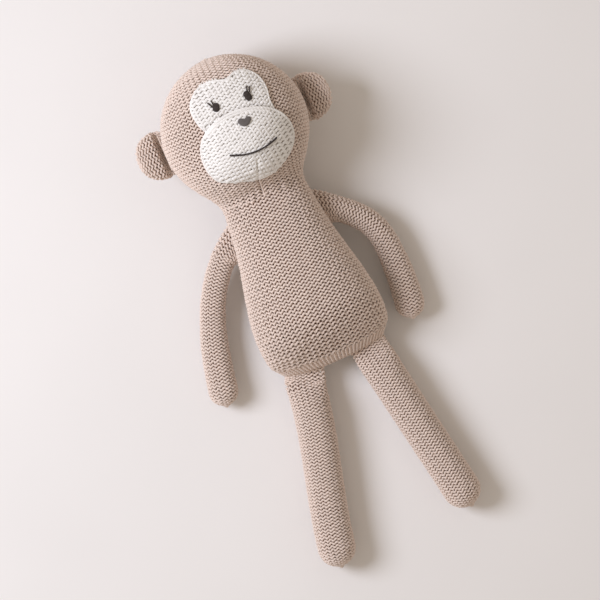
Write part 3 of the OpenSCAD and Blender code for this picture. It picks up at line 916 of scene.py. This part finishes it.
class Patch:
    """A sewn piece of the face: its outline, and how high it stands over the head."""

    def __init__(self, points, lift):
        self.outline = to_face(closed_curve(points))
        self.centre = self.outline.mean(axis=0)
        self.lift_by_share = lift
        d = self.outline - self.centre
        angle = np.arctan2(d[:, 1], d[:, 0])
        order = np.argsort(angle)
        self.angles = angle[order]
        self.radii = np.hypot(d[:, 0], d[:, 1])[order]

    def radius(self, angle):
        return np.interp(angle, self.angles, self.radii, period=2 * math.pi)

    def share(self, p, q):
        dp, dq = p - self.centre[0], q - self.centre[1]
        return np.hypot(dp, dq) / self.radius(np.arctan2(dq, dp))

    def lift(self, p, q):
        return self.lift_by_share(np.clip(self.share(p, q), 0, 1), p, q)

    def point(self, p, q, above=0.0):
        return on_face(p, q, self.lift(p, q) + above)

    def normal(self, p, q):
        d = 0.6
        across = self.point(p + d, q) - self.point(p - d, q)
        upward = self.point(p, q + d) - self.point(p, q - d)
        return unit(unit(np.cross(across, upward)) + [0, 0, 0.25])

    def spans(self, q, inset):
        """The stretches of the outline's inside at a height, each drawn in from its ends."""
        a, b = self.outline, np.roll(self.outline, -1, 0)
        cut = (a[:, 1] - q) * (b[:, 1] - q) < 0
        a, b = a[cut], b[cut]
        p = np.sort(a[:, 0] + (b[:, 0] - a[:, 0]) * (q - a[:, 1]) / (b[:, 1] - a[:, 1]))
        pairs = zip(p[::2], p[1::2])
        return [(low + inset, high - inset) for low, high in pairs if high - low > 2 * inset + 4]

    def edge(self, inset, low, high):
        """Places along the outline, drawn in by inset, between two directions in degrees."""
        turn = np.radians(np.arange(low, high, 1.5))
        r = self.radius(turn) - inset
        return self.centre[0] + r * np.cos(turn), self.centre[1] + r * np.sin(turn)


def dart_across(q):
    """How far across the face the muzzle's dart lies at a height."""
    return 0.6 + 0.31 * (q + 27.4)


def muzzle_height(share, p, q):
    valley = np.exp(-(((p - dart_across(q) - 1.1) / 1.0) ** 2)) * (1 - smooth_step(q, -30, -25.5))
    edge = 0.4 + 2.9 * smooth_step(q, -16, -5)
    return edge + (MASK_LIFT + 1.2 - edge + MUZZLE_RISE) * (1 - share**2.1) ** 0.7 - 1.5 * valley


def mask_height(share, p, q):
    beyond = (MUZZLE.share(p, q) - 1) * 30.0
    return MASK_LIFT - 0.8 * smooth_step(share, 0.92, 1.0) - 1.1 * np.exp(-(((beyond - 1.0) / 1.6) ** 2))


MASK = Patch(MASK_POINTS, mask_height)
MUZZLE = Patch(MUZZLE_POINTS, muzzle_height)


def patch_knit(name, patch, low, high, inset, seed, radius):
    """Courses across a patch of the face, each from edge to edge."""
    rng = np.random.RandomState(seed)
    strands = Strands(name, CREAM_YARN)
    for row in range(int((high - low) / PATCH_PITCH)):
        q = low + (row + 0.5) * PATCH_PITCH
        for left, right in patch.spans(q, inset):
            stitches = (right - left) / PATCH_WALE
            phase = left / PATCH_WALE + COURSE_DRIFT * row
            if stitches > 1:

                def place(distance, share, left=left, right=right):
                    p = left + (right - left) * share
                    return patch.point(p, distance), patch.normal(p, distance)

                _, middle = place(np.array([q]), np.array([0.5]))
                course(strands, rng, place, stitches, PATCH_PITCH, q, radius / middle[0, 2], False, True,
                       PATCH_CROWN, phase, PATCH_PINCH, PATCH_FLAT)
    return strands


def patch_painted_shade(name, patch, material):
    """A dark sheet under a patch that paints the shade in its holes, from its middle to its edge and down to
    the head.
    """
    rings, columns = 16, 90
    turn = -np.linspace(0, 2 * math.pi, columns, endpoint=False)
    r = np.linspace(0.03, 0.985, rings)[:, None] * patch.radius(turn)
    p = patch.centre[0] + r * np.cos(turn)
    q = patch.centre[1] + r * np.sin(turn)
    skirt = on_face(p[-1], q[-1], -2.5)[None]
    rows = np.concatenate([patch.point(p, q, -PATCH_PAINTED_SHADE_DEPTH), skirt])
    return Surface(rows).sheet(name, material, columns, rows=rings + 1)


def edge_yarn(name, patch, runs, radius):
    """Yarn laid round a patch's edge. A run is how far in it lies and its two directions in degrees."""
    strands = Strands(name, CREAM_YARN)
    for inset, low, high in runs:
        p, q = patch.edge(inset, low, high)
        closed = high - low >= 360
        strands.add(patch.point(p, q), patch.normal(p, q), radius, closed)
    return strands


mask = patch_knit("eye_mask_knit", MASK, -6.5, 32.9, 0.9, 50, MASK_YARN).build()
# sheets of painted shade under the mask and the muzzle
mask_painted_shade = patch_painted_shade("eye_mask_painted_shade", MASK, CREAM_PAINTED_SHADE)
mask_edge = edge_yarn("eye_mask_edge", MASK, [(0.8, 0, 360)], 0.9).build()
muzzle = patch_knit("muzzle_knit", MUZZLE, -39.4, 6.6, 1.0, 51, MUZZLE_YARN).build()
muzzle_painted_shade = patch_painted_shade("muzzle_painted_shade", MUZZLE, CREAM_PAINTED_SHADE)
muzzle_edge = edge_yarn("muzzle_edge", MUZZLE, [(0.7, 0, 360), (2.5, 35, 145)], 1.1)
q = np.linspace(-38.3, -28.0, 12)
muzzle_edge.add(MUZZLE.point(dart_across(q), q, 0.35), MUZZLE.normal(dart_across(q), q), 0.7, False)
muzzle_edge = muzzle_edge.build()
for piece in (mask, mask_painted_shade, mask_edge, muzzle, muzzle_painted_shade, muzzle_edge):
    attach(piece, "head")
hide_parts("eye_mask")
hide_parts("muzzle_patch")
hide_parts("muzzle_padding")


def satin(name, patch, centre, across, along, lean, radius, material):
    """Long parallel stitches that fill an oval on a patch."""
    strands = Strands(name, material)
    turn = math.radians(lean)
    for offset in np.linspace(-1, 1, 7) * (across - radius):
        half = along * math.sqrt(1 - (offset / across) ** 2)
        d = np.linspace(-half, half, 9)
        p = centre[0] + d * math.cos(turn) - offset * math.sin(turn)
        q = centre[1] + d * math.sin(turn) + offset * math.cos(turn)
        bow = np.sqrt(1 - np.linspace(-1, 1, 9) ** 2)
        crown = 1.1 * math.sqrt(1 - (offset / across) ** 2)
        strands.add(patch.point(p, q, 0.6 + crown * bow), patch.normal(p, q), radius, False)
    return strands


# The middle of each eye in the face's plane, and its half height
EYES = {"left": ((11.3, 14.5), 3.3), "right": ((-11.1, 14.8), 2.8)}
# Each lash from its root to its tip: outwards and upwards from the middle of the eye
LASHES = {
    "left": [((0.4, 2.6), (1.6, 6.2)), ((2.1, 2.0), (3.3, 5.5))],
    "right": [((0.7, 1.9), (1.7, 5.1)), ((2.2, 0.9), (4.3, 4.8))],
}

for side, s in SIDE.items():
    spot, tall = EYES[side]
    eye = satin(f"{side}_eye_stitches", MASK, spot, 2.3, tall, 90 + 15 * s, 0.48, DARK_YARN).build()
    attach(eye, "head")
    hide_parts(f"{side}_eye")
    strands = Strands(f"{side}_lash_stitches", DARK_YARN)
    for root, tip in LASHES[side]:
        p = spot[0] + s * np.linspace(root[0], tip[0], 7)
        q = spot[1] + np.linspace(root[1], tip[1], 7)
        bow = 0.8 * np.sqrt(1 - np.linspace(-1, 1, 7) ** 2)
        strands.add(MASK.point(p, q, 0.75 + bow), MASK.normal(p, q), 0.42, False)
    lashes = strands.build()
    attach(lashes, "head")
    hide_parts(f"{side}_lashes")


# The nose's heart, in the frame's x and y, clockwise from its blunt point
NOSE_POINTS = [
    (7.0, 107.9), (5.1, 108.9), (3.8, 110.7), (3.4, 112.6), (4.9, 114.1), (6.9, 113.6), (8.4, 112.8),
    (10.2, 113.6), (12.1, 112.8), (12.4, 111), (11, 109.3), (9, 108.1),
]


def nose_piece():
    """A felt heart with a soft edge, sewn flat on the muzzle."""
    heart = Patch(NOSE_POINTS, lambda share, p, q: 0 * share)
    turn = -np.linspace(0, 2 * math.pi, 48, endpoint=False)
    rows = []
    for r in (0.05, 0.3, 0.55, 0.75, 0.88, 0.96, 1.0):
        p = heart.centre[0] + r * heart.radius(turn) * np.cos(turn)
        q = heart.centre[1] + r * heart.radius(turn) * np.sin(turn)
        rows.append(MUZZLE.point(p, q, 1.35 + 0.8 * math.sqrt(1 - r**4)))
    rows.append(MUZZLE.point(p, q, -0.4))
    return Surface(np.array(rows)).sheet("nose_felt_heart", NOSE_FELT, 48, rows=26)


nose = nose_piece()
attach(nose, "head")
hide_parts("nose")


def mouth_piece():
    """Backstitches end to end along a shallow curve."""
    strands = Strands("mouth_backstitch", DARK_YARN)
    stitches = 13
    for k in range(stitches):
        a = -1 + 2 * k / stitches
        b = a + 2.1 / stitches
        u = np.linspace(a, b, 6)
        p = 2.7 + 16.4 * u
        q = -22.1 + 3.7 * u * u
        bow = np.sqrt(1 - np.linspace(-1, 1, 6) ** 2)
        strands.add(MUZZLE.point(p, q, 0.8 + 0.7 * bow), MUZZLE.normal(p, q), 0.66, False)
    return strands.build()


mouth = mouth_piece()
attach(mouth, "head")
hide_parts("mouth")


# ---- CAD pieces that stay --------------------------------------------------------------------------

for name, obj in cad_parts.items():
    if name.endswith(("thread", "seam")):
        obj.data.materials.clear()
        obj.data.materials.append(BODY_THREAD)


# ---- Floor, lights and camera ----------------------------------------------------------------------


def floor_piece():
    m = Nodes("floor_look")
    place = m.add("TexCoord").outputs["Object"]
    soft = m.noise(place, 6.0, 2.0)
    stops = [(0.3, (0.86, 0.84, 0.82)), (0.7, (0.89, 0.87, 0.85))]
    m.link(m.ramp(soft, stops), m.shader.inputs["Base Color"])
    m.surface(0.9, 0.0, 0.1)
    half = 2500.0
    corners = [[-half, -half, -0.3], [half, -half, -0.3], [half, half, -0.3], [-half, half, -0.3]]
    return make_mesh("floor", corners, [[0, 1, 2, 3]], m.material, smooth=False)


floor_piece()


def area_light(name, place, target, size, watts, colour):
    data = bpy.data.lights.new(name, "AREA")
    data.shape = "DISK"
    data.size = size
    data.energy = watts
    data.color = colour
    lamp = bpy.data.objects.new(name, data)
    bpy.context.scene.collection.objects.link(lamp)
    lamp.location = place
    away = lamp.location - lamp.location.__class__(target)
    lamp.rotation_euler = away.to_track_quat("Z", "Y").to_euler()


area_light("key", (-0.91, 0.50, 1.04), (0, 0, 0), 0.75, 16.6, (0.86, 0.89, 1.0))

world = bpy.data.worlds.new("studio")
world.use_nodes = True
world.node_tree.nodes["Background"].inputs[0].default_value = (1.0, 0.88, 0.77, 1)
world.node_tree.nodes["Background"].inputs[1].default_value = 0.47
bpy.context.scene.world = world
bpy.context.scene.view_settings.view_transform = "Standard"

ROLL = math.radians(23.5)
VIEW_WIDTH = 400.0
VIEW_CENTRE = (-5.8, -12.2)
CAMERA_HEIGHT = 12000.0
FACE_LEVEL = 35.0

lens = bpy.data.cameras.new("camera")
lens.sensor_width = 36.0
lens.lens = 36.0 * (CAMERA_HEIGHT - FACE_LEVEL) / VIEW_WIDTH
camera = bpy.data.objects.new("camera", lens)
camera.location = (VIEW_CENTRE[0] * MM, VIEW_CENTRE[1] * MM, CAMERA_HEIGHT * MM)
camera.rotation_euler = (0, 0, -ROLL)
bpy.context.scene.collection.objects.link(camera)
bpy.context.scene.camera = camera
